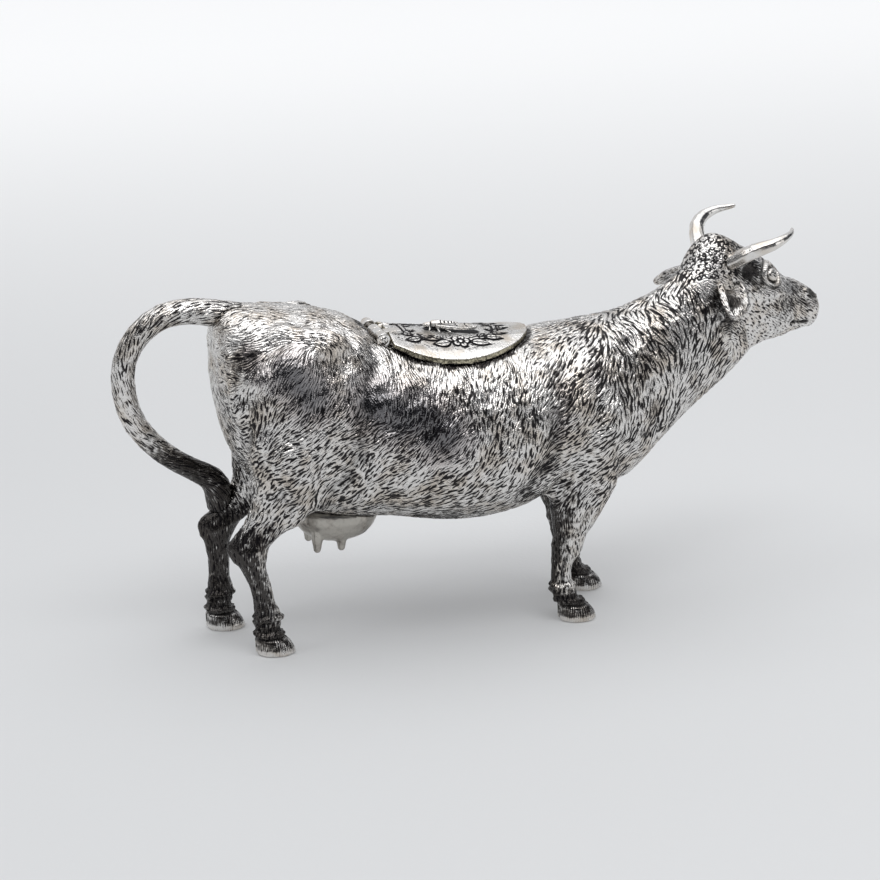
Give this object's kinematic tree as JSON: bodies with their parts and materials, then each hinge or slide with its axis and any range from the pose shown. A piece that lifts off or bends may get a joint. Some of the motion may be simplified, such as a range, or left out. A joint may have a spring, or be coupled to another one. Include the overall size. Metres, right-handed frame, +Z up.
{
  "type": "cow creamer",
  "caption": "Silver cream jug shaped as a standing cow: hinged saddle lid with a fly on it, looped tail as the handle, and a mouth that pours.",
  "frame": {"origin": "on the table plane, midway between the rear of the tail and the muzzle, in the cow's middle plane", "axes": "+X toward the head, +Y to the cow's left, +Z up"},
  "size_m": [0.1663, 0.0402, 0.0862],
  "materials": {
    "textured_silver": "chased hair strokes in sterling silver, dark oxide in the cuts, bright on the high places",
    "engraved_silver": "chased and stippled sterling silver with dark oxide in the ground",
    "polished_silver": "polished sterling silver with light handling wear",
    "satin_silver": "plain satin sterling silver"
  },
  "bodies": {
    "cow_jug": {"body_left_half": "textured_silver", "body_right_half": "textured_silver", "head": "textured_silver", "horn_left": "polished_silver", "horn_right": "polished_silver", "ear_left": "textured_silver", "ear_right": "textured_silver", "front_left_leg": "textured_silver", "front_right_leg": "textured_silver", "hind_left_leg": "textured_silver", "hind_right_leg": "textured_silver", "udder": "satin_silver", "tail_handle": "textured_silver", "opening_rim": "satin_silver", "body_hinge_knuckles": "polished_silver", "hinge_pin": "polished_silver"},
    "hinged_lid": {"lid": "engraved_silver", "lid_bezel": "satin_silver", "lid_hinge_knuckles": "polished_silver", "fly_body": "polished_silver", "fly_wings": "engraved_silver"}
  },
  "joints": [
    {"name": "lid_hinge", "type": "hinge", "parent": "cow_jug", "child": "hinged_lid", "pos_m": [-0.02588, 0, 0.06741], "axis": [0, -1, 0], "range_deg": [0, 105]}
  ]
}
